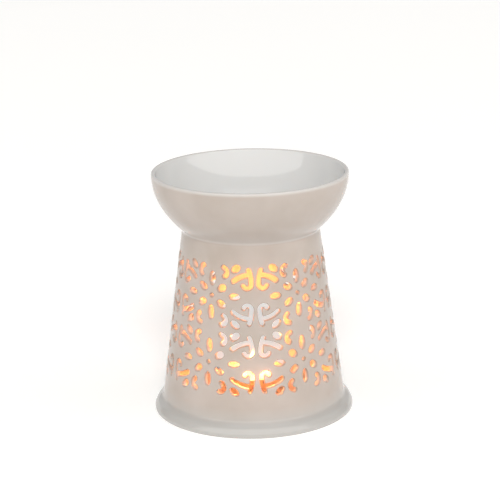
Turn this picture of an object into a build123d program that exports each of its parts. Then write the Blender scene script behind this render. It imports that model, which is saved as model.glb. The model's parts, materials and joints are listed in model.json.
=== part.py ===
from build123d import *
import math
import os

# Essential oil burner: a tapered ceramic tower pierced all round with scrolls and petals,
# a shallow bowl for water and oil joined to its neck, and the tealight that slides in from behind.
# Millimetres, +Z up. The origin is the centre of the foot on the table, and the doorway faces +Y.

# Driving sizes of the tower
foot_diameter = 113.0
foot_bead_height = 7.7
foot_bead_projection = 4.7
foot_nose_height = 2.0
foot_shoulder_radius = 3.0
foot_edge_radius = 0.6
foot_ring_width = 7.0
foot_recess = 1.5
crease_radius = 2.5
neck_diameter = 77.2
neck_height = 105.3
wall_thickness = 3.4
floor_thickness = 3.5
floor_corner_radius = 4.0

# Driving sizes of the bowl, whose rim is nearly as wide as the foot
rim_setback = 1.5
bowl_height = 32.2
bowl_wall = 3.4
bowl_floor = 3.6
bowl_dip = 2.5
bowl_corner_radius = 16.0
seat_depth = 2.0
seat_clearance = 0.4
neck_flare = 48.9
rim_flare = 0.0

# Doorway behind, a little wider than the tealight, under an arch
doorway_clearance = 1.5
doorway_rise = 47.2
doorway_arch_rise = 19.0
doorway_border = 6.0
plain_strip_width = 30.0

# Layout of the pierced wall: bearings in degrees from the front, plain bands in millimetres
column_pitch = 33.8
quarter_turn = 90
upright = 90
band_above_foot = 13.2
band_below_neck = 10.4
cut_overrun = 3.0

# The tealight
tealight_diameter = 38.0
tealight_height = 15.5
foil_thickness = 0.4
cup_lip_diameter = 1.0
wax_fill = 12.8
wax_meniscus = 0.6
candle_clearance = 0.1
wick_diameter = 1.8
wick_stand = 6.5
sustainer_diameter = 16.0
sustainer_plate = 0.4
sustainer_collar_diameter = 3.4
sustainer_collar_height = 4.0

# Sizes that follow from the driving ones
foot_radius = foot_diameter / 2
foot_crease_radius = foot_radius - foot_bead_projection
neck_radius = neck_diameter / 2
neck_bore_radius = neck_radius - wall_thickness
rim_radius = foot_radius - rim_setback
overall_height = neck_height + bowl_height
floor_top = foot_recess + floor_thickness
doorway_width = tealight_diameter + 2 * doorway_clearance
doorway_crown = floor_top + doorway_rise
pattern_bottom = foot_bead_height + band_above_foot
pattern_top = neck_height - band_below_neck
row_height = (pattern_top - pattern_bottom) / 2
row_middles = (pattern_bottom + row_height / 2, pattern_top - row_height / 2)
scroll_columns = (-4 * column_pitch, -2 * column_pitch, 0, 2 * column_pitch, 4 * column_pitch)
medallion_columns = (-3 * column_pitch, -column_pitch, column_pitch, 3 * column_pitch)

# Places inside one quarter of a scroll tile: bearing in degrees from the middle of the column,
# and height above the middle of the row as a share of the height of a row
stroke_bearing = 2.9
stroke_end_bearing = 4.8
stroke_end_share = 0.397
hook_share = 0.187
hook_tip_angle = 22.0
arm_root_share = 0.325
arm_tip_bearing = 16.6
arm_spots = ((3.9, arm_root_share), (10.6, 0.298), (arm_tip_bearing, 0.227))
scroll_bearing = (stroke_bearing + arm_tip_bearing) / 2
corner_petal_bearing = 14.9
corner_petal_share = 0.41
corner_petal_tilt = -38.0
side_petal_bearing = 15.6
crescent_spots = ((24.9, 0.425), (22.0, 0.365), (23.7, 0.292))
medallion_petal_bearing = 25.8
medallion_petal_share = 0.116
medallion_petal_tilt = -33.0
tall_petal_share = 0.252

# Openings, as shares of the height of a row
stroke_width_share = 0.07
hook_radius_share = 0.062
arm_width_share = 0.078
crescent_width_share = 0.08
corner_petal_size_shares = (0.165, 0.108)
side_petal_size_shares = (0.172, 0.1)
medallion_petal_size_shares = (0.158, 0.11)
tall_petal_size_shares = (0.215, 0.106)
eye_diameter_share = 0.066

stroke_width = stroke_width_share * row_height
hook_radius = hook_radius_share * row_height
arm_width = arm_width_share * row_height
crescent_width = crescent_width_share * row_height
eye_radius = eye_diameter_share * row_height / 2


def wall_radius(height):
    climbed = (height - foot_bead_height) / (neck_height - foot_bead_height)
    return foot_crease_radius + climbed * (neck_radius - foot_crease_radius)


def wall_plane(bearing, height):
    # Upright plane outside the wall that faces outwards, with its X axis to the right and Y up
    turn = math.radians(bearing)
    reach = wall_radius(height) + cut_overrun
    middle = (reach * math.sin(turn), -reach * math.cos(turn), height)
    across = (math.cos(turn), math.sin(turn), 0)
    outward = (math.sin(turn), -math.cos(turn), 0)
    return Plane(origin=middle, x_dir=across, z_dir=outward)


def last_bearing(row_middle):
    # The pattern stops beside the doorway, and beside the plain strip above it
    beside_doorway = row_middle - row_height / 2 < doorway_crown
    half_strip = doorway_width / 2 + doorway_border if beside_doorway else plain_strip_width / 2
    return 180 - math.degrees(math.asin(half_strip / wall_radius(row_middle)))


def is_clear(bearing, half_width, row_middle):
    spread = math.degrees(half_width / wall_radius(row_middle))
    return abs(bearing) + spread < last_bearing(row_middle)


def across(bearing, height):
    # Distance along the wall that a small difference in bearing makes at a height
    return math.radians(bearing) * wall_radius(height)


def hook_path(point, side, end):
    # Stroke that ends in a hook round towards the arm
    start = point(stroke_bearing, hook_share)
    centre = (start[0] + side * hook_radius, start[1])
    bottom = (centre[0], centre[1] - end * hook_radius)
    turn = math.radians(hook_tip_angle)
    tip = (
        centre[0] + side * hook_radius * math.cos(turn),
        centre[1] - end * hook_radius * math.sin(turn),
    )
    with BuildLine() as path:
        ThreePointArc(tip, bottom, start)
        TangentArc(start, point(stroke_end_bearing, stroke_end_share), tangent=(0, end))
    return path.wire()


def arc_path(first, middle, last):
    with BuildLine() as path:
        ThreePointArc(first, middle, last)
    return path.wire()


def petal(size_shares, tilt=0):
    length, width = (share * row_height for share in size_shares)
    with BuildSketch() as outline:
        Ellipse(length / 2, width / 2, rotation=tilt)
    return outline.sketch


def quarter_openings(column, row_middle, side, end):
    # One mirrored quarter of a scroll tile, with its share of the medallion beside it.
    # Each opening is its bearing, its height, half its spread along the wall and its outline.
    def place(bearing, share):
        return column + side * bearing, row_middle + end * share * row_height

    def seen_from(origin_bearing, origin_share):
        # Points of an opening on the plane that stands at its own place on the wall
        def point(bearing, share):
            height = row_middle + end * share * row_height
            rise = end * (share - origin_share) * row_height
            return side * across(bearing - origin_bearing, height), rise

        return point

    point = seen_from(scroll_bearing, arm_root_share)
    with BuildSketch() as scroll:
        SlotArc(hook_path(point, side, end), stroke_width)
        SlotArc(arc_path(*(point(*spot) for spot in arm_spots)), arm_width)
    half_scroll = across(arm_tip_bearing - scroll_bearing, row_middle) + arm_width / 2

    point = seen_from(*crescent_spots[1])
    with BuildSketch() as crescent:
        SlotArc(arc_path(*(point(*spot) for spot in crescent_spots)), crescent_width)

    corner = petal(corner_petal_size_shares, side * end * corner_petal_tilt)
    medallion = petal(medallion_petal_size_shares, side * end * medallion_petal_tilt)
    half_corner = corner_petal_size_shares[0] * row_height / 2
    half_medallion = medallion_petal_size_shares[0] * row_height / 2
    return [
        (*place(scroll_bearing, arm_root_share), half_scroll, scroll.sketch),
        (*place(corner_petal_bearing, corner_petal_share), half_corner, corner),
        (*place(*crescent_spots[1]), crescent_width, crescent.sketch),
        (*place(medallion_petal_bearing, medallion_petal_share), half_medallion, medallion),
    ]


def row_openings(row_middle):
    openings = []
    for column in scroll_columns:
        for side in (-1, 1):
            half_length = side_petal_size_shares[0] * row_height / 2
            bearing = column + side * side_petal_bearing
            openings.append((bearing, row_middle, half_length, petal(side_petal_size_shares)))
            for end in (-1, 1):
                openings.extend(quarter_openings(column, row_middle, side, end))
    for column in medallion_columns:
        with BuildSketch() as eye:
            Circle(eye_radius)
        openings.append((column, row_middle, eye_radius, eye.sketch))
        for end in (-1, 1):
            height = row_middle + end * tall_petal_share * row_height
            half_width = tall_petal_size_shares[1] * row_height / 2
            openings.append((column, height, half_width, petal(tall_petal_size_shares, upright)))
    return openings


# Pierced tower, with its foot, its floor and the doorway behind
with BuildPart() as tower:
    with BuildSketch(Plane.XZ) as tower_section:
        with BuildLine():
            Polyline(
                (0, floor_top),
                (0, foot_recess),
                (foot_radius - foot_ring_width, foot_recess),
                (foot_radius - foot_ring_width, 0),
                (foot_radius, 0),
                (foot_radius, foot_nose_height),
                (foot_crease_radius, foot_bead_height),
                (neck_radius, neck_height),
                (neck_bore_radius, neck_height),
                (wall_radius(floor_top) - wall_thickness, floor_top),
                close=True,
            )
        make_face()
        soft_corners = (
            ((foot_radius, 0), foot_edge_radius),
            ((foot_radius, foot_nose_height), foot_shoulder_radius),
            ((foot_crease_radius, foot_bead_height), crease_radius),
            ((wall_radius(floor_top) - wall_thickness, floor_top), floor_corner_radius),
        )
        for corner, radius in soft_corners:
            fillet(tower_section.vertices().sort_by_distance(corner)[0], radius=radius)
    revolve(axis=Axis.Z)

    # Arched doorway, with its sill level with the floor so that the tealight slides straight in
    rear = Plane(origin=(0, 0, 0), x_dir=(-1, 0, 0), z_dir=(0, 1, 0))
    with BuildSketch(rear):
        with BuildLine():
            half_door = doorway_width / 2
            spring = doorway_crown - doorway_arch_rise
            Polyline(
                (-half_door, spring),
                (-half_door, floor_top),
                (half_door, floor_top),
                (half_door, spring),
            )
            EllipticalCenterArc(
                (0, spring),
                half_door,
                doorway_arch_rise,
                start_angle=0,
                arc_size=2 * quarter_turn,
            )
        make_face()
    extrude(amount=foot_radius + cut_overrun, mode=Mode.SUBTRACT)

    # Pierced pattern, in two rows, each opening cut square to the wall at its own bearing
    for row_middle in row_middles:
        for bearing, height, half_spread, outline in row_openings(row_middle):
            if is_clear(bearing, half_spread, row_middle):
                with BuildSketch(wall_plane(bearing, height)):
                    add(outline)
    extrude(amount=-(wall_thickness + 2 * cut_overrun), mode=Mode.SUBTRACT)

# Bowl for water and oil, which sits on the neck and closes the top of the tower
lower_slope = (math.sin(math.radians(neck_flare)), math.cos(math.radians(neck_flare)))
upper_slope = (math.sin(math.radians(rim_flare)), math.cos(math.radians(rim_flare)))
lip_radius = bowl_wall / 2
lip_middle = (rim_radius - lip_radius, overall_height - lip_radius)
lower_handle_share = 0.41
upper_handle_share = 0.31


def bowl_curve(low, high):
    # Handles of the bowl's side, from its neck to its lip
    reach = math.dist(low, high)
    first = (
        low[0] + lower_handle_share * reach * lower_slope[0],
        low[1] + lower_handle_share * reach * lower_slope[1],
    )
    second = (
        high[0] - upper_handle_share * reach * upper_slope[0],
        high[1] - upper_handle_share * reach * upper_slope[1],
    )
    return low, first, second, high


outer_low = (neck_radius, neck_height)
outer_high = (lip_middle[0] + lip_radius * upper_slope[1], lip_middle[1] - lip_radius * upper_slope[0])
inner_low = (neck_radius - bowl_wall * lower_slope[1], neck_height + bowl_wall * lower_slope[0])
inner_high = (lip_middle[0] - lip_radius * upper_slope[1], lip_middle[1] + lip_radius * upper_slope[0])
bowl_bottom = inner_low[1] - bowl_dip
seat_radius = neck_bore_radius - seat_clearance

with BuildPart() as oil_dish:
    with BuildSketch(Plane.XZ) as bowl_section:
        with BuildLine():
            TangentArc((0, bowl_bottom), inner_low, tangent=(1, 0))
            Bezier(*bowl_curve(inner_low, inner_high))
            ThreePointArc(
                inner_high,
                (
                    lip_middle[0] + lip_radius * upper_slope[0],
                    lip_middle[1] + lip_radius * upper_slope[1],
                ),
                outer_high,
            )
            Bezier(*bowl_curve(outer_low, outer_high))
            Polyline(outer_low, (seat_radius, neck_height), (seat_radius, neck_height - seat_depth))
            TangentArc(
                (0, bowl_bottom - bowl_floor),
                (seat_radius, neck_height - seat_depth),
                tangent=(1, 0),
            )
            Line((0, bowl_bottom - bowl_floor), (0, bowl_bottom))
        make_face()
        fillet(bowl_section.vertices().sort_by_distance(inner_low)[0], radius=bowl_corner_radius)
    revolve(axis=Axis.Z)

# Tealight: foil cup with a rolled lip
tealight_radius = tealight_diameter / 2
cup_lip_radius = cup_lip_diameter / 2
cup_radius = tealight_radius - cup_lip_radius
cup_top = floor_top + tealight_height
cup_floor = floor_top + foil_thickness

with BuildPart() as tealight_cup:
    with BuildSketch(Plane.XZ):
        with BuildLine():
            Polyline(
                (0, floor_top),
                (cup_radius, floor_top),
                (cup_radius, cup_top - cup_lip_radius),
                (cup_radius - foil_thickness, cup_top - cup_lip_radius),
                (cup_radius - foil_thickness, cup_floor),
                (0, cup_floor),
                close=True,
            )
        make_face()
        with Locations((cup_radius, cup_top - cup_lip_radius)):
            Circle(cup_lip_radius)
    revolve(axis=Axis.Z)

# Wick holder: a tin plate on the floor of the cup with a collar round the wick
wick_radius = wick_diameter / 2
collar_radius = sustainer_collar_diameter / 2
plate_top = cup_floor + sustainer_plate
collar_top = plate_top + sustainer_collar_height

with BuildPart() as wick_sustainer:
    with BuildSketch(Plane.XY.offset(cup_floor)):
        Circle(sustainer_diameter / 2)
    extrude(amount=sustainer_plate)
    with BuildSketch(Plane.XY.offset(plate_top)):
        Circle(collar_radius)
        Circle(wick_radius + candle_clearance, mode=Mode.SUBTRACT)
    extrude(amount=sustainer_collar_height)

# Wax cake, moulded round the wick holder, with the melt drawn up at the foil
wax_radius = cup_radius - foil_thickness - candle_clearance
wax_top = floor_top + wax_fill
plate_bore = sustainer_diameter / 2 + candle_clearance
collar_bore = collar_radius + candle_clearance
wick_bore = wick_radius + candle_clearance

with BuildPart() as tealight_wax:
    with BuildSketch(Plane.XZ):
        with BuildLine():
            Polyline(
                (wick_bore, wax_top),
                (wick_bore, collar_top + candle_clearance),
                (collar_bore, collar_top + candle_clearance),
                (collar_bore, plate_top + candle_clearance),
                (plate_bore, plate_top + candle_clearance),
                (plate_bore, cup_floor),
                (wax_radius, cup_floor),
                (wax_radius, wax_top + wax_meniscus),
            )
            TangentArc((wick_bore, wax_top), (wax_radius, wax_top + wax_meniscus), tangent=(1, 0))
        make_face()
    revolve(axis=Axis.Z)

# Wick, standing on the plate inside the collar
with BuildPart() as tealight_wick:
    with BuildSketch(Plane.XY.offset(plate_top)):
        Circle(wick_radius)
    extrude(amount=wax_top + wick_stand - plate_top)
    fillet(tealight_wick.edges().group_by(Axis.Z)[-1], radius=wick_radius / 2)

pieces = {
    "tower": tower,
    "oil_dish": oil_dish,
    "tealight_cup": tealight_cup,
    "wick_sustainer": wick_sustainer,
    "tealight_wax": tealight_wax,
    "tealight_wick": tealight_wick,
}

os.makedirs("parts", exist_ok=True)
for name, piece in pieces.items():
    piece.part.label = name
    export_step(piece.part, f"parts/{name}.step")
    print(name, "solids", len(piece.part.solids()), "volume", round(piece.part.volume))
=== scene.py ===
import bmesh
import bpy
import json
from math import atan, atan2, copysign, cos, dist, hypot, pi, radians, sin, sqrt, tan
from mathutils import Matrix, Vector

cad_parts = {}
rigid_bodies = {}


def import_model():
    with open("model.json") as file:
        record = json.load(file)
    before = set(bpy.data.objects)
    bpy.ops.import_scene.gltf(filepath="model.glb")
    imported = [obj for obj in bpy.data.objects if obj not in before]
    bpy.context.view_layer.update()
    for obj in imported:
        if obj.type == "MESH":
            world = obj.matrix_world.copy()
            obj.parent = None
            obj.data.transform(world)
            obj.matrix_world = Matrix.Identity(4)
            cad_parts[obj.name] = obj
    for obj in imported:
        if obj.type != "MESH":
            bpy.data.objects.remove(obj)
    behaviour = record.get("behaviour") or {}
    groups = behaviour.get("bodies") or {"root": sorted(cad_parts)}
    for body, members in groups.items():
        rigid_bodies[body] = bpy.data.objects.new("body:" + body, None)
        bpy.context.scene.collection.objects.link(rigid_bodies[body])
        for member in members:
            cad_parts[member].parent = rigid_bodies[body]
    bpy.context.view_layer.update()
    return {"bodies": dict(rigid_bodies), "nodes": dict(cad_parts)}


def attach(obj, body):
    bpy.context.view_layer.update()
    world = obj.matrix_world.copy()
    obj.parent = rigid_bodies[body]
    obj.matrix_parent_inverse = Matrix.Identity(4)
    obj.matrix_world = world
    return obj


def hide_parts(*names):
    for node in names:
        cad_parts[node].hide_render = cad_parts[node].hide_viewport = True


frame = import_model()
scene = bpy.context.scene
mm = 0.001

# Camera about a metre away, looking down into the bowl, a little to the left of the pattern's middle
view = {
    "bearing": -2.36,           # degrees round from the front
    "distance": 1.0059,         # metres from the burner's axis
    "height": 0.3776,
    "target": (0, 0, 0.06595),
    "targetPixel": (251.99, 293),
    "imageSize": 500,
    "focalPixels": 1861.6,
    "roll": 1.05,               # degrees, the burner leans to the left
    "sensor": 36,
    "near": 0.05,
    "far": 20,
}


def addObject(name, data):
    made = bpy.data.objects.new(name, data)
    scene.collection.objects.link(made)
    return made


def addCamera(v):
    turn = radians(v["bearing"])
    place = Vector((v["distance"] * sin(turn), -v["distance"] * cos(turn), v["height"]))
    look = (Vector(v["target"]) - place).normalized()
    level = look.cross(Vector((0, 0, 1))).normalized()
    down = look.cross(level).normalized()
    roll = radians(v["roll"])
    right = level * cos(roll) + down * sin(roll)
    low = down * cos(roll) - level * sin(roll)
    # Turned so that the target falls on its own pixel, which is off the picture's middle
    across, drop = ((pixel - v["imageSize"] / 2) / v["focalPixels"] for pixel in v["targetPixel"])
    look = (look - right * across - low * drop).normalized()
    right = (right - look * right.dot(look)).normalized()
    low = look.cross(right).normalized()
    data = bpy.data.cameras.new("camera")
    data.sensor_width = v["sensor"]
    data.lens = v["focalPixels"] * v["sensor"] / v["imageSize"]
    data.clip_start = v["near"]
    data.clip_end = v["far"]
    turned = Matrix((right, -low, -look)).transposed().to_4x4()
    scene.camera = addObject("camera", data)
    scene.camera.matrix_world = Matrix.Translation(place) @ turned


addCamera(view)


# Materials

def hexColour(text):
    # sRGB hex to linear
    parts = [int(text[i:i + 2], 16) / 255 for i in (0, 2, 4)]
    return tuple(c / 12.92 if c <= 0.04045 else ((c + 0.055) / 1.055) ** 2.4 for c in parts) + (1,)


def addNode(tree, kind, values=None):
    # A value goes to the input of that name or number, or else to the node's own property
    node = tree.nodes.new(kind)
    for name, value in (values or {}).items():
        if isinstance(value, bpy.types.NodeSocket):
            tree.links.new(value, node.inputs[name])
        elif isinstance(name, int) or name in node.inputs:
            node.inputs[name].default_value = value
        else:
            setattr(node, name, value)
    return node


def emptyTree(owner):
    owner.use_nodes = True
    owner.node_tree.nodes.clear()
    return owner.node_tree


def newMaterial(name):
    material = bpy.data.materials.new(name)
    tree = emptyTree(material)
    return material, tree, addNode(tree, "ShaderNodeTexCoord").outputs["Object"]


def noiseOf(tree, place, size, detail, roughness=0.5):
    values = {"Vector": place, "Scale": 1 / size, "Detail": detail, "Roughness": roughness}
    return addNode(tree, "ShaderNodeTexNoise", values).outputs["Fac"]


def bumpOf(tree, height, bump, **more):
    # The bump's values are its strength and its depth
    values = {"Height": height, "Strength": bump[0], "Distance": bump[1], **more}
    return addNode(tree, "ShaderNodeBump", values).outputs["Normal"]


def rangeOf(tree, value, target=(0, 1), source=(0, 1)):
    ends = {"From Min": source[0], "From Max": source[1], "To Min": target[0], "To Max": target[1]}
    return addNode(tree, "ShaderNodeMapRange", {"Value": value, **ends}).outputs["Result"]


def colourRamp(tree, factor, stops):
    ramp = addNode(tree, "ShaderNodeValToRGB", {"Fac": factor})
    points = ramp.color_ramp.elements
    while len(points) < len(stops):
        points.new(0.5)
    for point, (position, colour) in zip(points, stops):
        point.position = position
        point.color = hexColour(colour)
    return ramp.outputs["Color"]


def heightRamp(tree, place, ends, stops):
    parts = addNode(tree, "ShaderNodeSeparateXYZ", {"Vector": place}).outputs
    return colourRamp(tree, rangeOf(tree, parts["Z"], source=ends), stops)


def endMaterial(material, values):
    tree = material.node_tree
    shader = addNode(tree, "ShaderNodeBsdfPrincipled", values)
    addNode(tree, "ShaderNodeOutputMaterial", {"Surface": shader.outputs[0]})
    return material


# Gloss feldspar glaze on white stoneware, dipped and fired: an even shine over soft clouds
glaze = {
    "tones": ((0.3, "a39990"), (0.5, "a89e96"), (0.72, "ada39c")),      # from thin to thick
    "paintedLight": "cdcdcc",         # painted light: a lighter colour inside the bowl, a painted highlight on its rim, and lighter in the crease under it to offset the shade there
    "greyFoot": "a7a7a5",        # a greyer, slightly lighter colour on the foot, partly painted light that offsets the shade on the bead
    "bare": "e8dfd3",           # inside the tower and in the cut openings: white clay, barely coated
    "cloud": 22 * mm,           # size of the clouds in the glaze
    "gloss": (0.02, 0.045),     # roughness, which follows the clouds
    "bareRough": 0.55,
    "wave": 9 * mm,             # waviness left by the dip
    "waveBump": (0.5, 0.01 * mm),
    "pinhole": 0.9 * mm,        # finer in life, but then it wouldn't show
    "pinholeBump": (0.12, 0.01 * mm),
    "soak": 1.2 * mm,           # how far light goes into it
}


def glazedStoneware(g):
    material, tree, place = newMaterial("glossGlazedStoneware")
    cloud = noiseOf(tree, place, g["cloud"], 3.0)
    colour = colourRamp(tree, cloud, g["tones"])
    # Laid over the clouds by share: painted light in and on the bowl, a greyer foot with some painted light,
    # and bare clay
    for name in ("paintedLight", "greyFoot", "bare"):
        share = addNode(tree, "ShaderNodeAttribute", {"attribute_name": name}).outputs["Fac"]
        values = {"data_type": "RGBA", 0: share, 6: colour, 7: hexColour(g[name])}
        colour = addNode(tree, "ShaderNodeMix", values).outputs[2]
    dip = bumpOf(tree, noiseOf(tree, place, g["wave"], 1.0, 0.4), g["waveBump"])
    grain = bumpOf(tree, noiseOf(tree, place, g["pinhole"], 1.0), g["pinholeBump"], Normal=dip)
    # The last share, that of the bare clay, makes it rougher too
    smooth = rangeOf(tree, cloud, g["gloss"], (0.3, 0.7))
    rough = addNode(tree, "ShaderNodeMix", {"data_type": "FLOAT", 0: share, 2: smooth, 3: g["bareRough"]})
    return endMaterial(material, {
        "Base Color": colour, "Roughness": rough.outputs[0], "IOR": 1.5, "Normal": grain,
        "Subsurface Weight": 0.08, "Subsurface Scale": g["soak"], "Subsurface Radius": (1.0, 0.6, 0.4),
    })


# Deep-drawn aluminium foil: bright, with fine wrinkles from the press
foil = {"colour": "d8d8da", "rough": (0.2, 0.38), "wrinkle": 2.5 * mm, "bump": (0.5, 0.06 * mm)}


def drawnFoil(f):
    material, tree, place = newMaterial("drawnAluminiumFoil")
    wrinkle = noiseOf(tree, place, f["wrinkle"], 3.0)
    return endMaterial(material, {
        "Base Color": hexColour(f["colour"]), "Metallic": 1.0,
        "Normal": bumpOf(tree, wrinkle, f["bump"]), "Roughness": rangeOf(tree, wrinkle, f["rough"]),
    })


# Stamped tinplate under the wax: duller than the foil, with rolling marks one way
tin = {"colour": "b9b9b4", "rough": (0.3, 0.5), "streak": 0.4 * mm, "stretch": (0.05, 1.0, 1.0)}


def stampedTinplate(t):
    material, tree, place = newMaterial("stampedTinplate")
    drawn = addNode(tree, "ShaderNodeMapping", {"Vector": place, "Scale": t["stretch"]}).outputs["Vector"]
    rough = rangeOf(tree, noiseOf(tree, drawn, t["streak"], 2.0), t["rough"])
    return endMaterial(material, {"Base Color": hexColour(t["colour"]), "Metallic": 1.0, "Roughness": rough})


# Poured paraffin, molten round the flame: its glow is painted on as emission, strongest by the wick, in place
# of the flame's light soaking in
paraffin = {
    "colour": "f7ead0",
    "paintedGlow": 1.6,
    "paintedGlowTones": ((0.0, "ffd27a"), (1.0, "ff8a3a")),
    "reach": 17 * mm,           # from the wick to the second of these
    "rough": (0.15, 0.35),
    "cloud": 3 * mm,
    "soak": 4 * mm,
}


def pouredParaffin(p):
    material, tree, place = newMaterial("pouredParaffin")
    level = addNode(tree, "ShaderNodeVectorMath", {"operation": "MULTIPLY", 0: place, 1: (1, 1, 0)})
    away = addNode(tree, "ShaderNodeVectorMath", {"operation": "LENGTH", 0: level.outputs[0]})
    share = rangeOf(tree, away.outputs["Value"], source=(0, p["reach"]))
    return endMaterial(material, {
        "Base Color": hexColour(p["colour"]), "IOR": 1.43,
        "Subsurface Weight": 0.6, "Subsurface Scale": p["soak"],
        "Roughness": rangeOf(tree, noiseOf(tree, place, p["cloud"], 2.0), p["rough"]),
        # Painted glow: emission that stands in for the flame's light in the wax
        "Emission Color": colourRamp(tree, share, p["paintedGlowTones"]), "Emission Strength": p["paintedGlow"],
    })


# Braided cotton wick, charred at its top where it burns
cotton = {"tones": ((0.0, "d9cdb4"), (0.55, "1a1512")), "strand": 0.5 * mm, "bump": (1.0, 0.2 * mm)}


def braidedCotton(c, low, high):
    material, tree, place = newMaterial("charredBraidedCotton")
    return endMaterial(material, {
        "Base Color": heightRamp(tree, place, (low, high), c["tones"]), "Roughness": 0.95,
        "Normal": bumpOf(tree, noiseOf(tree, place, c["strand"], 2.0), c["bump"]),
    })


# Candle flame: orange at its foot and tip, nearly white in the body
flameLook = {"tones": ((0.0, "ff7a1e"), (0.35, "ffe3a0"), (1.0, "ffb347")), "strength": 9.0}


def burningVapour(f, low, high):
    material, tree, place = newMaterial("burningVapour")
    return endMaterial(material, {
        "Base Color": (0, 0, 0, 1), "Specular IOR Level": 0.0, "Emission Strength": f["strength"],
        "Emission Color": heightRamp(tree, place, (low, high), f["tones"]),
    })


glazeFinish = glazedStoneware(glaze)
print("materials ready")


# Meshes

def clamp(share):
    return min(max(share, 0), 1)


def evenly(span, steps):
    return [span * i / steps for i in range(steps + 1)]


def meshObject(name, points, faces):
    data = bpy.data.meshes.new(name)
    data.from_pydata(points, [], faces)
    data.update()
    return addObject(name, data)


def finalMesh(piece):
    # The mesh that a piece's modifiers give
    bpy.context.view_layer.update()
    return bpy.data.meshes.new_from_object(piece.evaluated_get(bpy.context.evaluated_depsgraph_get()))


def tidyNormals(piece, merge=1e-6):
    work = bmesh.new()
    work.from_mesh(piece.data)
    bmesh.ops.remove_doubles(work, verts=work.verts, dist=merge)
    bmesh.ops.recalc_face_normals(work, faces=work.faces)
    work.to_mesh(piece.data)
    work.free()
    piece.data.shade_smooth()
    piece.data.set_sharp_from_angle(angle=radians(50))


def lathe(profile, turns, closed=False):
    # Rings round Z from (radius, height) points: a point on the axis becomes a pole
    points, rings, faces = [], [], []
    bearings = [turn - pi for turn in evenly(2 * pi, turns)[:-1]]
    for radius, height in profile:
        start = len(points)
        if radius < 1e-7:
            rings.append([start] * turns)
            points.append((0, 0, height))
            continue
        rings.append(list(range(start, start + turns)))
        points += [(radius * sin(turn), -radius * cos(turn), height) for turn in bearings]
    for low, high in zip(rings, rings[1:] + rings[:1] if closed else rings[1:]):
        for i in range(turns):
            j = (i + 1) % turns
            face = tuple(dict.fromkeys((low[i], low[j], high[j], high[i])))
            if len(face) > 2:
                faces.append(face)
    return points, faces


def latheObject(name, profile, turns, finish, closed=False):
    piece = meshObject(name, *lathe(profile, turns, closed))
    tidyNormals(piece)
    piece.data.materials.append(finish)
    return piece


def tubeObject(name, rings):
    # Closed tube through rings that all have the same number of points
    count = len(rings[0])
    faces = []
    for k in range(len(rings) - 1):
        for i in range(count):
            j = (i + 1) % count
            faces.append((k * count + i, k * count + j, (k + 1) * count + j, (k + 1) * count + i))
    faces += [tuple(range(count)), tuple(range((len(rings) - 1) * count, len(rings) * count))]
    tube = meshObject(name, [point for ring in rings for point in ring], faces)
    tidyNormals(tube, 1e-8)
    return tube


def addShare(piece, name, shareAt):
    # How far each point has one of the glaze's other colours, from 0 to 1
    field = piece.data.attributes.new(name, "FLOAT", "POINT")
    for i, vertex in enumerate(piece.data.vertices):
        field.data[i].value = shareAt(vertex.co)


def turnsOf(start, end, steps):
    return [radians(start + turn) for turn in evenly(end - start, steps)]


def roundPoints(centre, radius, turns):
    return [(centre[0] + radius * cos(t), centre[1] + radius * sin(t)) for t in turns]


def roundCorners(points, radii, steps=6):
    # Rounds the corners of an open run of points, by one radius for each point
    made = [points[0]]
    for before, corner, after, radius in zip(points, points[1:], points[2:], radii[1:]):
        if not radius:
            made.append(corner)
            continue
        a = (Vector(before) - Vector(corner)).normalized()
        b = (Vector(after) - Vector(corner)).normalized()
        half = a.angle(b) / 2
        reach = radius / tan(half)
        centre = Vector(corner) + (a + b).normalized() * radius / sin(half)
        first = Vector(corner) + a * reach - centre
        last = Vector(corner) + b * reach - centre
        for share in evenly(1, steps):
            made.append(tuple(centre + first.slerp(last, share).normalized() * radius))
    made.append(points[-1])
    return made


# The tower's sizes, as in the part
tower = {
    "footRadius": 56.5 * mm,
    "creaseRadius": 51.8 * mm,
    "beadHeight": 7.7 * mm,
    "noseHeight": 2.0 * mm,
    "shoulder": 3.0 * mm,
    "footEdge": 0.6 * mm,
    "ringWidth": 7.0 * mm,
    "recess": 1.5 * mm,
    "recessCorner": 0.4 * mm,
    "beadSwell": 0.8 * mm,
    "beadRound": 6.0 * mm,
    "glazeFillet": 3.0 * mm,
    "neckRadius": 38.6 * mm,
    "neckHeight": 105.3 * mm,
    "wall": 3.4 * mm,
    "floorTop": 5.0 * mm,
    "floorCorner": 4.0 * mm,
    "turns": 180,               # facets round the axis
    "sheetLow": 15 * mm,        # the pierced sheet's lower and upper edges
    "sheetHigh": 99 * mm,
    "cell": 2.4 * mm,           # height of the sheet's facets
    "sheetRadius": 45.2 * mm,   # radius at which the flat sheet is drawn
    "softEdge": 0.5 * mm,       # glaze rounding round each opening
    "doorHalf": 20.5 * mm,
    "doorCrown": 52.2 * mm,
    "doorArch": 19 * mm,
    "doorSoft": 1.2 * mm,
    "doorBorder": 6 * mm,       # plain wall left beside the doorway
    "stripHalf": 15 * mm,       # half the plain strip above it
}
slope = (tower["neckRadius"] - tower["creaseRadius"]) / (tower["neckHeight"] - tower["beadHeight"])


def wallRadius(height):
    return tower["creaseRadius"] + (height - tower["beadHeight"]) * slope


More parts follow.
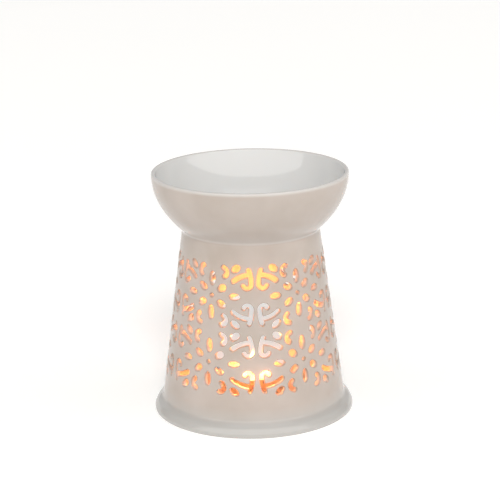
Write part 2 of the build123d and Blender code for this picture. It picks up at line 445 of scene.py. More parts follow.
# The pattern: bearings in degrees from a column's middle, heights and sizes as shares of a row
pattern = {
    "pitch": 33.8,
    "tiles": 5,                 # columns laid, before those at the doorway are left out
    "low": 20.9 * mm,
    "high": 94.9 * mm,
    "stroke": (2.9, 0.187),
    "strokeEnd": (4.8, 0.397),
    "strokeWidth": 0.07,
    "hookRadius": 0.062,
    "hookTip": 22,
    "arm": ((3.9, 0.325), (10.6, 0.298), (16.6, 0.227)),
    "armWidth": 0.078,
    "crescent": ((24.9, 0.425), (22.0, 0.365), (23.7, 0.292)),
    "crescentWidth": 0.08,
    # Petals: bearing, height, tilt, length and width, the tall one without bearing and tilt
    "cornerPetal": (14.9, 0.41, -38, 0.165, 0.108),
    "medallionPetal": (25.8, 0.116, -33, 0.158, 0.11),
    "sidePetal": (15.6, 0.0, 0, 0.172, 0.1),
    "tallPetal": (0.252, 0.215, 0.106),
    "eye": 0.066,
}
rowHeight = (pattern["high"] - pattern["low"]) / 2
rowMiddles = (pattern["low"] + rowHeight / 2, pattern["high"] - rowHeight / 2)


def threePointArc(a, b, c, steps=7):
    # Points along the circle through three points
    ax, ay, bx, by, cx, cy = *a, *b, *c
    d = 2 * (ax * (by - cy) + bx * (cy - ay) + cx * (ay - by))
    aa, bb, cc = ax * ax + ay * ay, bx * bx + by * by, cx * cx + cy * cy
    ux = (aa * (by - cy) + bb * (cy - ay) + cc * (ay - by)) / d
    uy = (aa * (cx - bx) + bb * (ax - cx) + cc * (bx - ax)) / d
    radius = dist((ux, uy), a)
    start, through, end = (atan2(p[1] - uy, p[0] - ux) for p in (a, b, c))
    sweep = (end - start) % (2 * pi)
    if (through - start) % (2 * pi) > sweep:
        sweep -= 2 * pi
    return roundPoints((ux, uy), radius, [start + turn for turn in evenly(sweep, steps)])


def slotOutline(path, half, capSteps=8):
    # Slot with round ends along a path, with as many points at every offset
    sides = ([], [])
    for i, point in enumerate(path):
        along = Vector(path[min(i + 1, len(path) - 1)]) - Vector(path[max(i - 1, 0)])
        across = Vector((-along.y, along.x)).normalized() * half
        sides[0].append(tuple(Vector(point) + across))
        sides[1].append(tuple(Vector(point) - across))

    def cap(point, edge):
        turn = atan2(edge[1] - point[1], edge[0] - point[0])
        return roundPoints(point, half, [turn - pi * i / capSteps for i in range(1, capSteps)])

    return sides[0] + cap(path[-1], sides[0][-1]) + sides[1][::-1] + cap(path[0], sides[1][0])


def petalOutline(length, width, tilt, offset, steps=26):
    long, short, lean = length / 2 + offset, width / 2 + offset, radians(tilt)
    made = []
    for turn in evenly(2 * pi, steps)[:-1]:
        x, y = long * cos(turn), short * sin(turn)
        made.append((x * cos(lean) - y * sin(lean), x * sin(lean) + y * cos(lean)))
    return made


def hookPath(point, side, end, hookSteps=9, strokeSteps=7):
    # From the hook's tip round to the stroke's foot, then along the stroke, which bends a little
    radius = pattern["hookRadius"] * rowHeight
    start = point(*pattern["stroke"])
    finish = point(*pattern["strokeEnd"])
    centre = (start[0] + side * radius, start[1])
    turn = radians(pattern["hookTip"])
    tip = (centre[0] + side * radius * cos(turn), centre[1] - end * radius * sin(turn))
    hook = threePointArc(tip, (centre[0], centre[1] - end * radius), start, hookSteps)
    dx, dy = finish[0] - start[0], finish[1] - start[1]
    bend = (dx * dx + dy * dy) / (2 * dx)
    full = atan2(dy, copysign(1, bend) * (bend - dx))
    turns = evenly(full, strokeSteps)[1:]
    return hook + [(start[0] + bend - bend * cos(t), start[1] + abs(bend) * sin(t)) for t in turns]


def cutterMesh(name, outlineAt, soft, wall):
    # Cutter through the flat sheet, flared at both faces so that the opening's edges are rounded
    levels = [(soft * 1.2, wall / 2 + soft * 0.05)]
    for degrees in (30, 60):
        turn = radians(degrees)
        levels.append((soft * (1 - sin(turn)), wall / 2 - soft * (1 - cos(turn))))
    levels += [
        (0, wall / 2 - soft), (0, -wall / 2 + soft), (soft * 0.3, -wall / 2 + soft * 0.3),
        (soft * 1.2, -wall / 2 - soft * 0.15),
    ]
    return tubeObject(name, [[(x, y, depth) for x, y in outlineAt(offset)] for offset, depth in levels])


def makeKit():
    # One cutter for each kind of opening in each row, with its place in the tile and half its spread
    spots, cutters = [], []
    armEnd = pattern["arm"][2][0]
    scroll = ((pattern["stroke"][0] + armEnd) / 2, pattern["arm"][0][1])
    halfScroll = radians(armEnd - scroll[0]) * wallRadius(rowMiddles[0]) + pattern["armWidth"] * rowHeight / 2

    def addKind(name, bearing, share, spread, outlineIn, isArm=False):
        kind = len(spots)
        spots.append({"bearing": bearing, "share": share, "spread": spread, "kind": kind, "arm": isArm})
        for row, middle in enumerate(rowMiddles):
            label = f"cutter{row}{len(spots):02d}{name}"
            cutters.append(cutterMesh(label, outlineIn(middle), tower["softEdge"], tower["wall"]))

    def petal(length, width, tilt):
        return lambda middle: lambda offset: petalOutline(length * rowHeight, width * rowHeight, tilt, offset)

    def slot(side, end, origin, width, pathThrough):
        # The row's height sets how wide a degree is, so each row has an outline of its own
        def outlineIn(middle):
            def point(bearing, share):
                radius = wallRadius(middle + end * share * rowHeight)
                return side * radians(bearing - origin[0]) * radius, end * (share - origin[1]) * rowHeight
            path = pathThrough(point, side, end)
            return lambda offset: slotOutline(path, width * rowHeight / 2 + offset)
        return outlineIn

    def arc(name):
        return lambda point, side, end: threePointArc(*(point(*place) for place in pattern[name]))

    for side in (-1, 1):
        bearing, share, tilt, length, width = pattern["sidePetal"]
        addKind("side", side * bearing, share, length * rowHeight / 2, petal(length, width, tilt))
        for end in (-1, 1):
            place = (side * scroll[0], end * scroll[1])
            addKind("hook", *place, halfScroll, slot(side, end, scroll, pattern["strokeWidth"], hookPath))
            addKind("arm", *place, halfScroll, slot(side, end, scroll, pattern["armWidth"], arc("arm")), True)
            middle, width = pattern["crescent"][1], pattern["crescentWidth"]
            crescent = slot(side, end, middle, width, arc("crescent"))
            addKind("crescent", side * middle[0], end * middle[1], width * rowHeight, crescent)
            for name in ("cornerPetal", "medallionPetal"):
                bearing, share, tilt, length, width = pattern[name]
                shape = petal(length, width, side * end * tilt)
                addKind(name, side * bearing, end * share, length * rowHeight / 2, shape)
    share, length, width = pattern["tallPetal"]
    for end in (-1, 1):
        addKind("tall", pattern["pitch"], end * share, width * rowHeight / 2, petal(length, width, 90))
    eye = pattern["eye"]
    addKind("eye", pattern["pitch"], 0, eye * rowHeight / 2, petal(eye, eye, 0))
    return spots, cutters


def tileLayout(spots):
    # One point for each opening of a tile: x is its bearing in radians, y its share of the row
    layout = meshObject("tileLayout", [(radians(s["bearing"]), s["share"], 0) for s in spots], [])
    for name, kind in (("kind", "INT"), ("arm", "BOOLEAN"), ("spread", "FLOAT")):
        field = layout.data.attributes.new(name, kind, "POINT")
        for i, s in enumerate(spots):
            field.data[i].value = s[name]
    return layout


def piercedSheetTree(values):
    # Repeats the tile round and up the flat sheet, cuts it, and wraps the sheet onto the cone
    tree = bpy.data.node_groups.new("piercedSheet", "GeometryNodeTree")
    kinds = {int: "Int", float: "Float", bpy.types.Collection: "Collection", bpy.types.Material: "Material"}
    inputs = {"Layout": "Geometry", **{name: kinds[type(value)] for name, value in values.items()}}
    for way, sockets in (("INPUT", inputs), ("OUTPUT", {"Geometry": "Geometry"})):
        for name, kind in sockets.items():
            tree.interface.new_socket(name=name, in_out=way, socket_type="NodeSocket" + kind)
    given = addNode(tree, "NodeGroupInput").outputs
    rowTall, sheetRadius = given["Row Height"], given["Sheet Radius"]

    def geometry(kind, values=None):
        return addNode(tree, "GeometryNode" + kind, values).outputs[0]

    def calc(operation):
        def result(*values):
            settings = {"operation": operation, **dict(enumerate(values))}
            return addNode(tree, "ShaderNodeMath", settings).outputs[0]
        return result

    plus, minus, times, ratio = map(calc, ("ADD", "SUBTRACT", "MULTIPLY", "DIVIDE"))
    under, over, largest, absolute = map(calc, ("LESS_THAN", "GREATER_THAN", "MAXIMUM", "ABSOLUTE"))
    sine, cosine, arcSine = map(calc, ("SINE", "COSINE", "ARCSINE"))

    def combine(x=0, y=0, z=0):
        return addNode(tree, "ShaderNodeCombineXYZ", {"X": x, "Y": y, "Z": z}).outputs[0]

    def separate(vector):
        return tuple(addNode(tree, "ShaderNodeSeparateXYZ", {0: vector}).outputs)

    def named(name, kind="FLOAT"):
        return geometry("InputNamedAttribute", {"data_type": kind, "Name": name})

    def radiusAt(height):
        return plus(given["Radius At Foot"], times(height, given["Slope"]))

    # One point for each tile
    tiles = geometry("MeshGrid", {
        "Size X": times(given["Tile Pitch"], minus(given["Tiles"], 1)), "Size Y": rowTall,
        "Vertices X": given["Tiles"], "Vertices Y": 2,
    })
    halfRow = times(rowTall, 0.5)
    betweenRows = plus(given["First Row"], halfRow)
    moved = geometry("Transform", {"Geometry": tiles, "Translation": combine(y=betweenRows)})
    x, y, z = separate(geometry("InputPosition"))
    rows = geometry("StoreNamedAttribute", {
        "data_type": "FLOAT", "domain": "POINT", "Name": "rowMiddle", "Geometry": moved, "Value": y,
    })
    stretch = combine(1, rowTall, 1)
    laid = geometry("InstanceOnPoints", {"Points": rows, "Instance": given["Layout"], "Scale": stretch})
    spots = geometry("RealizeInstances", {"Geometry": laid})

    # Openings too near the doorway or the plain strip above it are left out
    rowMiddle = named("rowMiddle")
    besideDoor = under(minus(rowMiddle, halfRow), given["Door Top"])
    doorExtra = times(besideDoor, minus(given["Door Margin"], given["Strip Margin"]))
    rowRadius = radiusAt(rowMiddle)
    keepOut = arcSine(ratio(plus(given["Strip Margin"], doorExtra), rowRadius))
    reach = plus(absolute(x), ratio(named("spread"), rowRadius))
    tooNear = over(reach, minus(pi, keepOut))
    kept = geometry("DeleteGeometry", {"domain": "POINT", "Geometry": spots, "Selection": tooNear})
    flat = combine(times(x, sheetRadius), y)
    spread = geometry("SetPosition", {"Geometry": kept, "Position": flat})

    # Cutters at those points, the arms apart from the hooks that they run into
    kit = geometry("CollectionInfo", {
        "Collection": given["Cutters"], "Separate Children": True, "Reset Children": True,
    })
    index = plus(named("kind", "INT"), times(over(rowMiddle, betweenRows), given["Kinds"]))
    wider = combine(ratio(sheetRadius, radiusAt(y)), 1, 1)
    isArm = named("arm", "BOOLEAN")
    notArm = addNode(tree, "FunctionNodeBooleanMath", {"operation": "NOT", 0: isArm}).outputs[0]
    cuts = []
    for choice in (notArm, isArm):
        put = geometry("InstanceOnPoints", {
            "Points": spread, "Selection": choice, "Instance": kit, "Pick Instance": True,
            "Instance Index": index, "Scale": wider,
        })
        cuts.append(geometry("RealizeInstances", {"Geometry": put}))

    # The flat sheet, as long as the way round
    length = times(sheetRadius, 2 * pi)
    rise = minus(given["Sheet High"], given["Sheet Low"])
    slab = geometry("MeshCube", {
        "Size": combine(length, rise, given["Wall"]),
        "Vertices X": given["Columns"], "Vertices Y": given["Rows"], "Vertices Z": 2,
    })
    middle = times(plus(given["Sheet High"], given["Sheet Low"]), 0.5)
    sheet = geometry("Transform", {"Geometry": slab, "Translation": combine(y=middle)})
    values = {"operation": "DIFFERENCE", "solver": "MANIFOLD", "Mesh 1": sheet}
    cut = addNode(tree, "GeometryNodeMeshBoolean", values)
    for shape in cuts:
        tree.links.new(shape, cut.inputs["Mesh 2"])

    # The sheet's four narrow sides go, because the ends meet and the rest of the tower joins on
    facing = separate(geometry("InputNormal"))

    def narrowSide(across, facingPart, size):
        atEdge = over(absolute(across), minus(times(size, 0.5), 1e-5))
        return times(atEdge, over(absolute(facingPart), 0.9))

    ends = narrowSide(x, facing[0], length)
    edges = narrowSide(minus(y, middle), facing[1], rise)
    opened = geometry("DeleteGeometry", {
        "domain": "FACE", "Geometry": cut.outputs["Mesh"], "Selection": largest(ends, edges),
    })

    # Wrapped onto the cone: the sheet's depth runs from half the wall out to half the wall in
    turn = ratio(x, sheetRadius)
    radius = minus(plus(radiusAt(y), z), times(given["Wall"], 0.5))
    wrapped = combine(times(radius, sine(turn)), times(times(radius, cosine(turn)), -1), y)
    rolled = geometry("SetPosition", {"Geometry": opened, "Position": wrapped})
    joined = geometry("MergeByDistance", {"Geometry": rolled, "Distance": 1e-6})
    real = geometry("RealizeInstances", {"Geometry": joined})
    finished = geometry("SetMaterial", {"Geometry": real, "Material": given["Finish"]})
    addNode(tree, "NodeGroupOutput", {0: finished})
    return tree


def piercedSheet():
    spots, cutters = makeKit()
    kit = bpy.data.collections.new("cutters")
    scene.collection.children.link(kit)
    for cutter in cutters:
        scene.collection.objects.unlink(cutter)
        kit.objects.link(cutter)
    low, high = tower["sheetLow"], tower["sheetHigh"]
    values = {
        "Cutters": kit, "Kinds": len(spots), "Tiles": pattern["tiles"],
        "Tile Pitch": radians(2 * pattern["pitch"]), "Row Height": rowHeight, "First Row": rowMiddles[0],
        "Sheet Radius": tower["sheetRadius"], "Radius At Foot": wallRadius(0), "Slope": slope,
        "Wall": tower["wall"], "Sheet Low": low, "Sheet High": high, "Columns": tower["turns"] + 1,
        "Rows": round((high - low) / tower["cell"]) + 1, "Door Top": tower["doorCrown"],
        "Door Margin": tower["doorHalf"] + tower["doorBorder"], "Strip Margin": tower["stripHalf"],
        "Finish": glazeFinish,
    }
    layout = tileLayout(spots)
    modifier = layout.modifiers.new("pierce", "NODES")
    modifier.node_group = piercedSheetTree(values)
    for socket in modifier.node_group.interface.items_tree:
        if socket.name in values:
            modifier[socket.identifier] = values[socket.name]
    made = finalMesh(layout)
    sheet = addObject("piercedSheet", made)
    for gone in [layout] + cutters:
        bpy.data.objects.remove(gone)
    bpy.data.collections.remove(kit)
    print("pierced sheet", len(made.vertices), "points", len(made.polygons), "faces")
    return sheet


def towerEnds():
    # The rest of the tower below and above the sheet, outside and in
    t = tower
    low, high, wall = t["sheetLow"], t["sheetHigh"], t["wall"]
    crease, nose = Vector((t["creaseRadius"], t["beadHeight"])), Vector((t["footRadius"], t["noseHeight"]))
    crown = (crease + nose) / 2
    crown += Vector((crease.y - nose.y, nose.x - crease.x)).normalized() * t["beadSwell"]
    ring, corner = t["footRadius"] - t["ringWidth"], t["recessCorner"]
    outside = roundCorners(
        [
            (wallRadius(low), low), crease, crown, nose, (t["footRadius"], 0), (ring, 0),
            (ring, t["recess"]), (0, t["recess"]),
        ],
        [0, t["glazeFillet"], t["beadRound"], t["shoulder"], t["footEdge"], corner, corner, 0],
    )
    floor = t["floorTop"]
    chamber = [(0, floor), (wallRadius(floor) - wall, floor), (wallRadius(low) - wall, low)]
    inside = roundCorners(chamber, [0, t["floorCorner"], 0])
    neck = [
        (wallRadius(high), high), (t["neckRadius"], t["neckHeight"]),
        (t["neckRadius"] - wall, t["neckHeight"]), (wallRadius(high) - wall, high),
    ]
    points, faces = [], []
    for profile in (outside, inside, neck):
        more, moreFaces = lathe(profile, t["turns"])
        faces += [tuple(i + len(points) for i in face) for face in moreFaces]
        points += more
    return meshObject("towerEnds", points, faces)


def doorCutter():
    # Runs straight back through the wall, flared at both faces; its sill is level with the floor
    t = tower
    soft, wall = t["doorSoft"], t["wall"]
    spring = t["doorCrown"] - t["doorArch"]

    def outline(offset, archSteps=28, jambSteps=8):
        half, rise = t["doorHalf"] + offset, t["doorArch"] + offset
        arch = [(half * cos(a), spring + rise * sin(a)) for a in evenly(pi, archSteps)]
        jamb = [spring * (1 - down) + t["floorTop"] * down for down in evenly(1, jambSteps)[1:]]
        return arch + [(-half, z) for z in jamb] + [(half, z) for z in jamb[::-1]]

    def flatRing(offset, y):
        return [(-x, y, z) for x, z in outline(offset)]

    def wallRing(offset, depth):
        radii = [(x, z, wallRadius(z) - depth) for x, z in outline(offset)]
        return [(-x, sqrt(max(radius ** 2 - x * x, 0)), z) for x, z, radius in radii]

    inner, outer = 5 * mm, t["footRadius"] + 2 * mm
    rings = [flatRing(soft * 1.1, outer)]
    for degrees in (8, 30, 60, 90):
        a = radians(degrees)
        rings.append(wallRing(soft * (1 - sin(a)), soft * (1 - cos(a))))
    rings += [
        wallRing(0, wall - soft), wallRing(soft * 0.3, wall - soft * 0.3),
        wallRing(soft * 1.1, wall + soft * 0.1), flatRing(soft * 1.1, inner),
    ]
    return tubeObject("doorCutter", rings)


def smoothWallNormals(piece, near=0.02 * mm):
    # Flat runs of the cone keep the cone's own normals, so long thin faces don't shade unevenly
    lean = atan(-slope)
    low, high = tower["beadHeight"] + 2 * mm, tower["neckHeight"] + 0.1 * mm
    normals = []
    for vertex in piece.data.vertices:
        x, y, z = vertex.co
        reach = hypot(x, y)
        normal = vertex.normal.copy()
        if reach > 1e-6 and low < z < high:
            out = Vector((x / reach * cos(lean), y / reach * cos(lean), sin(lean)))
            depth = wallRadius(z) - reach
            if abs(depth) < near:
                normal = out
            elif abs(depth - tower["wall"]) < near:
                normal = -out
        normals.append(normal)
    piece.data.normals_split_custom_set_from_vertices(normals)


# How the glaze lies on the tower: it thins to bare clay in the wall, and the foot is greyer and slightly
# lighter, partly painted light that offsets the shade on the bead
coat = {
    "bareDepth": 0.5 * mm,      # depth into the wall at which bare clay starts to show
    "bareBlend": 0.6 * mm,
    "bareLow": 1 * mm,          # height over the foot's recess below which all is glazed
    "greyFoot": 0.8,             # greatest share of the greyer foot colour
    "greyFootHigh": 5 * mm,      # height over the bead at which it starts
    "greyFootBlend": 7 * mm,
}


def bareAt(at):
    depth = wallRadius(at.z) - hypot(at.x, at.y)
    above = at.z > tower["recess"] + coat["bareLow"]
    return clamp((depth - coat["bareDepth"]) / coat["bareBlend"]) if above else 0


def greyFootAt(at):
    return coat["greyFoot"] * clamp((tower["beadHeight"] + coat["greyFootHigh"] - at.z) / coat["greyFootBlend"])


def makeTower():
    sheet = piercedSheet()
    ends = towerEnds()
    work = bmesh.new()
    work.from_mesh(sheet.data)
    work.from_mesh(ends.data)
    bmesh.ops.remove_doubles(work, verts=work.verts, dist=5e-6)
    bmesh.ops.recalc_face_normals(work, faces=work.faces)
    print("tower joined, open edges", sum(not edge.is_manifold for edge in work.edges))
    data = bpy.data.meshes.new("glazedTower")
    work.to_mesh(data)
    work.free()
    piece = addObject("glazedTower", data)
    cutter = doorCutter()
    cut = piece.modifiers.new("doorway", "BOOLEAN")
    cut.operation = "DIFFERENCE"
    cut.solver = "MANIFOLD"
    cut.object = cutter
    done = finalMesh(piece)
    piece.modifiers.clear()
    piece.data = done
    for gone in (sheet, ends, cutter):
        bpy.data.objects.remove(gone)
    done.materials.clear()
    done.materials.append(glazeFinish)
    for face in done.polygons:
        face.material_index = 0
    done.shade_smooth()
    smoothWallNormals(piece)
    addShare(piece, "bare", bareAt)
    # A greyer foot, partly painted light against the shade on the bead
    addShare(piece, "greyFoot", greyFootAt)
    triangles = sum(len(face.vertices) - 2 for face in done.polygons)
    print("tower", len(done.vertices), "points", triangles, "triangles")
    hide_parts("tower")
    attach(piece, "burner")


makeTower()

# Bowl for water and oil
dish = {
    "rimRadius": 55 * mm,
    "height": 137.5 * mm,
    "wall": 3.4 * mm,
    "floor": 3.6 * mm,
    "floorCorner": 7 * mm,      # reach of the curve between floor and side
    "dip": 2.5 * mm,
    "seatDepth": 2 * mm,
    "seatGap": 0.4 * mm,
    "neckFlare": 48.9,
    "rimFlare": 0.0,
    "rimHalf": 1.2 * mm,        # the wall thins to twice this at the rim, on its inner side
    "rimLean": 10.0,
    "lowHandle": 0.41,
    "highHandle": 0.31,
    "crease": 1.6 * mm,         # reach of the glaze in the crease under the bowl
    "creaseShare": 0.97,        # share of that which is rounded
    "sunk": 0.03 * mm,          # its lower edge sinks into the wall, so no step shows
    "turns": 220,
    "floorSteps": 24,
    "sideSteps": 40,
    "rimSteps": 14,
}
# Shares of the painted-light colour on the bowl's outside: a painted highlight on the rim, painted light that
# offsets the shade in the crease, and an even slight tint on the flank
paintedLightShares = {
    "rim": 0.65,
    "rimDrop": 2.2 * mm,        # how far below the top it starts
    "rimBlend": 1.8 * mm,
    "crease": 0.27,
    "creaseHigh": 13 * mm,      # height over the neck at which it has faded out
    "creaseLow": 0.4,           # share of the crease's reach at which it ends below the neck
    "flank": 0.04,
    "skin": 0.6,                # share of the wall that still counts as outside
}


def bezierPoints(low, high, d, lean=0):
    # The bowl's side, from the flare at the neck to the rim
    a, b = radians(d["neckFlare"]), radians(d["rimFlare"] + lean)
    span = dist(low, high)
    first, second = d["lowHandle"] * span, d["highHandle"] * span
    ends = (
        low, (low[0] + first * sin(a), low[1] + first * cos(a)),
        (high[0] - second * sin(b), high[1] - second * cos(b)), high,
    )
    made = []
    for t in evenly(1, d["sideSteps"]):
        u = 1 - t
        shares = (u ** 3, 3 * u * u * t, 3 * u * t * t, t ** 3)
        made.append(tuple(sum(share * end[k] for share, end in zip(shares, ends)) for k in (0, 1)))
    return made


def softCorner(run, middle, reach, steps=14):
    # Puts a smooth curve in place of a run's corner, within reach of it
    before = [p for p in run[:middle] if dist(p, run[middle]) > reach]
    after = [p for p in run[middle + 1:] if dist(p, run[middle]) > reach]
    a, b, c = Vector(before[-1]), Vector(run[middle]), Vector(after[0])
    curve = [tuple(a * (1 - t) ** 2 + b * 2 * t * (1 - t) + c * t * t) for t in evenly(1, steps)[1:-1]]
    return before + curve + after


def makeDish(d):
    a, lean = radians(d["neckFlare"]), radians(d["rimLean"])
    neckRadius, neckHeight = tower["neckRadius"], tower["neckHeight"]
    lip = d["rimHalf"]
    middle = (d["rimRadius"] - lip, d["height"] - lip)
    innerLow = (neckRadius - d["wall"] * cos(a), neckHeight + d["wall"] * sin(a))
    bottom = innerLow[1] - d["dip"]
    curve = (innerLow[0] ** 2 + d["dip"] ** 2) / (2 * d["dip"])
    floor = [(r, bottom + curve - sqrt(curve ** 2 - r ** 2)) for r in evenly(innerLow[0], d["floorSteps"])]
    innerHigh = (middle[0] - lip * cos(lean), middle[1] + lip * sin(lean))
    side = bezierPoints(innerLow, innerHigh, d, d["rimLean"])
    inside = softCorner(floor + side[1:], d["floorSteps"], d["floorCorner"])
    rim = roundPoints(middle, lip, turnsOf(180 - d["rimLean"], 0, d["rimSteps"]))
    flank = bezierPoints((neckRadius, neckHeight), (middle[0] + lip, middle[1]), d)[::-1]
    drop = neckHeight - d["crease"]
    outside = flank + [(wallRadius(drop) - d["sunk"], drop)]
    outside = softCorner(outside, len(flank) - 1, d["crease"] * d["creaseShare"], 8)
    seat = neckRadius - tower["wall"] - d["seatGap"]
    under = [
        (neckRadius - 1 * mm, neckHeight), (seat, neckHeight), (seat, neckHeight - d["seatDepth"]),
        (0, bottom - d["floor"]),
    ]
    piece = latheObject("glazedBowl", inside + rim[1:-1] + outside + under, d["turns"], glazeFinish)

    def paintedLightAt(at):
        outer = next((radius for radius, height in flank if height <= at.z), flank[-1][0])
        if at.z > bottom - 0.5 * mm and hypot(at.x, at.y) < outer - d["wall"] * paintedLightShares["skin"]:
            return 1    # the inside, painted lighter to offset the shade in the hollow
        onRim = clamp((at.z - d["height"] + paintedLightShares["rimDrop"]) / paintedLightShares["rimBlend"])
        above = at.z - neckHeight
        fade = -paintedLightShares["creaseHigh"] if above > 0 else paintedLightShares["creaseLow"] * d["crease"]
        inCrease = 1 + above / fade
        onFlank = paintedLightShares["flank"] if above > 0 else 0
        return max(paintedLightShares["rim"] * onRim, paintedLightShares["crease"] * inCrease, onFlank)

    # Painted light on the bowl: lighter inside, a painted highlight on the rim, and lighter in the crease
    # where shade falls
    addShare(piece, "paintedLight", paintedLightAt)
    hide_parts("oil_dish")
    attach(piece, "burner")
    print("bowl", len(piece.data.polygons), "faces")


makeDish(dish)

# The tealight, a size that is made everywhere
tealight = {
    "radius": 19 * mm,
    "height": 15.5 * mm,
    "foil": 0.4 * mm,
    "lip": 0.5 * mm,
    # Millimetres in from the cup's wall and up from its base: the foot is stepped and rounded
    "footCurve": ((5, 0.5), (4.4, 0), (0.9, 0), (0.25, 0.3), (0, 1.1)),
    "straight": 1.1 * mm,       # the wall is straight from here to as far below the top
    "wellTop": 1.4 * mm,        # depth below the top at which its inside starts
    # Height of the inside's corner, how far in from the wall it ends, and where the flat begins
    "wellCorner": (1.3 * mm, 1.2 * mm, 4.2 * mm),
    "dome": 0.5 * mm,           # how far the middle of the bottom stands up
    "crimps": 48,
    "crimpDepth": 0.12 * mm,
    "crimpLow": 1 * mm,
    "crimpHigh": 1.2 * mm,
    "cupTurns": 144,
    "waxTop": 12.8 * mm,
    "waxUnder": 1.0 * mm,       # room under the wax, for the sustainer
    # Millimetres out from the wick, or in from the edge, and up from the pool: the wax climbs at both
    "waxHole": ((0.1, 0.15), (0.8, 0)),
    "waxEdge": ((1.5, 0.04), (0.7, 0.2), (0, 0.6)),
    "waxTurns": 96,
    "gap": 0.1 * mm,
    "wick": 0.9 * mm,
    "wickFoot": 0.5 * mm,       # height over the foil at which it starts
    "wickSlim": 0.82,           # thinned, so that the braid stays inside the CAD wick
    "tipSlim": 0.55,
    "wickStand": 6.5 * mm,
    "lean": 1.0 * mm,           # how far the burnt tip curls over
    "leanFrom": 0.7,
    "braid": (0.1, 0.08),
    "braidTurns": 22,
    "charFrom": 10 * mm,
}


def makeCup(t):
    base = tower["floorTop"]
    wall, top = t["radius"] - t["lip"], base + t["height"]
    outside = [(0, base + t["dome"])] + [(wall - x * mm, base + z * mm) for x, z in t["footCurve"]]
    straight = t["height"] - 2 * t["straight"]
    outside += [(wall, base + t["straight"] + rise) for rise in evenly(straight, 8)[1:]]
    lip = roundPoints((wall, top - t["lip"]), t["lip"], turnsOf(-90, 180, 12))
    up, inward, flat = t["wellCorner"]
    inner, bed = wall - t["foil"], base + t["foil"]
    inside = [
        (inner, top - t["wellTop"]), (inner, base + up), (wall - inward, bed), (wall - flat, bed),
        (0, bed + t["dome"]),
    ]

    def crimped(x, y, z):
        reach = hypot(x, y)
        if not base + t["crimpLow"] < z < top - t["crimpHigh"] or reach <= wall - 0.05 * mm:
            return x, y, z
        grown = 1 - t["crimpDepth"] * (0.5 + 0.5 * cos(t["crimps"] * atan2(y, x))) / reach
        return x * grown, y * grown, z

    points, faces = lathe(outside + lip + inside, t["cupTurns"])
    cup = meshObject("foilCup", [crimped(*point) for point in points], faces)
    tidyNormals(cup)
    cup.data.materials.append(drawnFoil(foil))
    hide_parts("tealight_cup")
    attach(cup, "tealight")


def makeWax(t):
    low, top = tower["floorTop"] + t["foil"] + t["waxUnder"], tower["floorTop"] + t["waxTop"]
    edge = t["radius"] - t["lip"] - t["foil"] - t["gap"]
    hole, chamfer = t["wick"] + t["gap"], 1 * mm
    surface = [(t["wick"] + x * mm, top + z * mm) for x, z in t["waxHole"]]
    pool = edge - t["waxEdge"][0][0] * mm
    surface += [(pool * i / 10, top) for i in range(2, 10)]
    surface += [(edge - x * mm, top + z * mm) for x, z in t["waxEdge"]]
    under = [(edge, low), (t["wick"] + chamfer, low), (hole, low + chamfer)]
    wax = latheObject("waxCake", surface + under, t["waxTurns"], pouredParaffin(paraffin), True)
    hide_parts("tealight_wax")
    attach(wax, "tealight")


def makeWick(t, sides=16, steps=40):
    # Braided tube that curls over at its charred tip
    base = tower["floorTop"] + t["foil"] + t["wickFoot"]
    top = tower["floorTop"] + t["waxTop"] + t["wickStand"]
    rings = []
    for k in range(steps + 1):
        share = k / steps
        height = base + (top - base) * share
        bend = t["lean"] * max(0, (share - t["leanFrom"]) / (1 - t["leanFrom"])) ** 2
        twist = t["braidTurns"] * share
        slim = t["wickSlim"] * (t["tipSlim"] if k == steps else 1)
        ring = []
        for turn in evenly(2 * pi, sides)[:-1]:
            braid = 1 + t["braid"][0] * cos(3 * turn + twist) + t["braid"][1] * cos(3 * turn - twist)
            radius = t["wick"] * slim * braid
            ring.append((bend + radius * cos(turn), radius * sin(turn), height))
        rings.append(ring)
    wick = tubeObject("braidedWick", rings)
    wick.data.materials.append(braidedCotton(cotton, base + t["charFrom"], top))
    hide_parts("tealight_wick")
    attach(wick, "tealight")
    return top


# The flame hangs a little way down round the wick, is fullest low down and tapers to its tip
flameShape = {
    "height": 11 * mm,
    "width": 5.4 * mm,
    "hang": 3 * mm,
    "full": 0.62,
    "blunt": 0.9,
    "taper": 0.25,
    "light": 0.45,              # how far up the light comes from
    "turns": 32,
}


def makeFlame(f, wickTop, steps=24):
    low = wickTop - f["hang"]
    profile = []
    for share in evenly(1, steps):
        wide = sin(pi * share ** f["full"]) ** f["blunt"] if 0 < share < 1 else 0
        profile.append((f["width"] / 2 * wide * (1 - f["taper"] * share), low + f["height"] * share))
    flame = latheObject("flame", profile, f["turns"], burningVapour(flameLook, low, low + f["height"]))
    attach(flame, "tealight")
    return low + f["height"] * f["light"]


makeCup(tealight)
makeWax(tealight)
flameMiddle = makeFlame(flameShape, makeWick(tealight))
sustainer = frame["nodes"]["wick_sustainer"]
tinFinish = stampedTinplate(tin)
for placed in sustainer.material_slots:
    placed.material = tinFinish
print("tealight made")

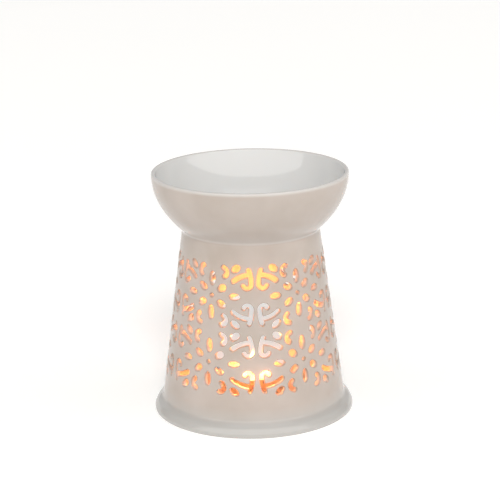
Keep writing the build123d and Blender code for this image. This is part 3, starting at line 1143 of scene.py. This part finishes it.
# Light: the flame, a diffused key, low boards and a white room. The windows in front, the panel
# overhead and the backdrop are seen only in the gloss.
lights = {
    "flame": {"power": 0.23, "colour": "ff8a38", "size": 3 * mm, "lift": 4 * mm},
    "key": {"from": (-0.01, -1.0, 0.8), "strength": 1.8, "angle": 20, "colour": "fffcf8"},
    "windows": {
        "left": (-2.05, -0.6), "right": (8.0, -1.2), "low": 0.19, "high": 0.83,
        "radiance": 2.0, "colour": "fffdfc",
    },
    "boards": {
        "places": ((-1.4, -0.35), (1.4, -0.35), (0.1, -1.5)), "radiance": (1.8, 2.2, 0.8),
        "size": (1.5, 0.7), "colour": "fffbf7",
    },
    "overhead": {
        "place": (0.05, -0.1, 1.0), "facing": (0, 0, -1), "size": (0.9, 0.7),
        "radiance": 1.1, "colour": "fafcff",
    },
    "backdrop": {
        "place": (0, 1.6, 0.75), "facing": (0, -1, 0), "size": (3.2, 1.5),
        "radiance": 0.45, "colour": "ffffff",
    },
    "room": {"front": 0.62, "back": 0.3},
}


def addLight(name, kind, l, energy):
    data = bpy.data.lights.new(name, kind)
    data.energy = energy
    data.color = hexColour(l["colour"])[:3]
    return addObject(name, data)


def addFlameLight(l, height):
    light = addLight("flameLight", "POINT", l, l["power"])
    light.data.shadow_soft_size = l["size"]
    light.location = (0, 0, height + l["lift"])
    light.parent = frame["bodies"]["tealight"]


def addKey(l):
    light = addLight("diffusedKey", "SUN", l, l["strength"])
    light.data.angle = radians(l["angle"])
    light.matrix_world = Vector(l["from"]).to_track_quat("Z", "Y").to_matrix().to_4x4()
    light.visible_glossy = False


def addPanel(name, l, size, place, facing):
    light = addLight(name, "AREA", l, l["radiance"] * pi * size[0] * size[1])
    light.data.shape = "RECTANGLE"
    light.data.size, light.data.size_y = size
    light.matrix_world = Matrix.Translation(place) @ facing.to_track_quat("-Z", "Y").to_matrix().to_4x4()
    light.visible_camera = False
    return light


def addWindows(l):
    left, right = Vector(l["left"]), Vector(l["right"])
    wide = right - left
    place = ((left + right) / 2).to_3d() + Vector((0, 0, (l["high"] + l["low"]) / 2))
    size = (wide.length, l["high"] - l["low"])
    addPanel("windowShine", l, size, place, Vector((-wide.y, wide.x, 0))).visible_diffuse = False


def addBoards(l):
    # Low boards at both sides and in front, which light the crease under the bowl
    for (x, y), radiance in zip(l["places"], l["radiance"]):
        place = Vector((x, y, l["size"][1] / 2))
        board = addPanel("lowBoard", {**l, "radiance": radiance}, l["size"], place, Vector((-x, -y, 0)))
        board.visible_glossy = False


def addRoom(l):
    # White walls, brighter on the camera's side
    world = bpy.data.worlds.new("whiteRoom")
    tree = emptyTree(world)
    way = addNode(tree, "ShaderNodeTexCoord").outputs["Generated"]
    parts = addNode(tree, "ShaderNodeSeparateXYZ", {"Vector": way}).outputs
    share = rangeOf(tree, parts["Y"], (l["front"], l["back"]), (-1, 1))
    wall = addNode(tree, "ShaderNodeBackground", {"Color": (1, 1, 1, 1), "Strength": share})
    addNode(tree, "ShaderNodeOutputWorld", {"Surface": wall.outputs[0]})
    scene.world = world


addFlameLight(lights["flame"], flameMiddle)
addKey(lights["key"])
addWindows(lights["windows"])
addBoards(lights["boards"])
for name in ("overhead", "backdrop"):
    l = lights[name]
    addPanel(name + "Shine", l, l["size"], Vector(l["place"]), Vector(l["facing"])).visible_diffuse = False
addRoom(lights["room"])
scene.view_settings.view_transform = "Standard"

# Matt white paper, slightly lit by itself so that it stays white round the foot
paper = {"colour": "fbfbfa", "grain": 0.6 * mm, "bump": (0.1, 0.02 * mm), "half": 3.0, "lift": 0.17}


def makeFloor(p):
    corners = [(x * p["half"], y * p["half"], 0) for x, y in ((-1, -1), (1, -1), (1, 1), (-1, 1))]
    floor = meshObject("paperFloor", corners, [(0, 1, 2, 3)])
    material, tree, place = newMaterial("mattWhitePaper")
    floor.data.materials.append(endMaterial(material, {
        "Base Color": hexColour(p["colour"]), "Roughness": 0.95, "Specular IOR Level": 0.1,
        "Normal": bumpOf(tree, noiseOf(tree, place, p["grain"], 1.0), p["bump"]),
        "Emission Color": (1, 1, 1, 1), "Emission Strength": p["lift"],
    }))


makeFloor(paper)
print("lights and floor set")

# Bloom round the lit openings, as a lens gives it
bloom = {"glare_type": "BLOOM", "quality": "HIGH", "Threshold": 1.15, "Strength": 0.5, "Size": 0.4}


def addBloom(b):
    tree = emptyTree(scene)
    picture = addNode(tree, "CompositorNodeRLayers").outputs["Image"]
    glare = addNode(tree, "CompositorNodeGlare", {"Image": picture, **b})
    addNode(tree, "CompositorNodeComposite", {"Image": glare.outputs["Image"]})


addBloom(bloom)
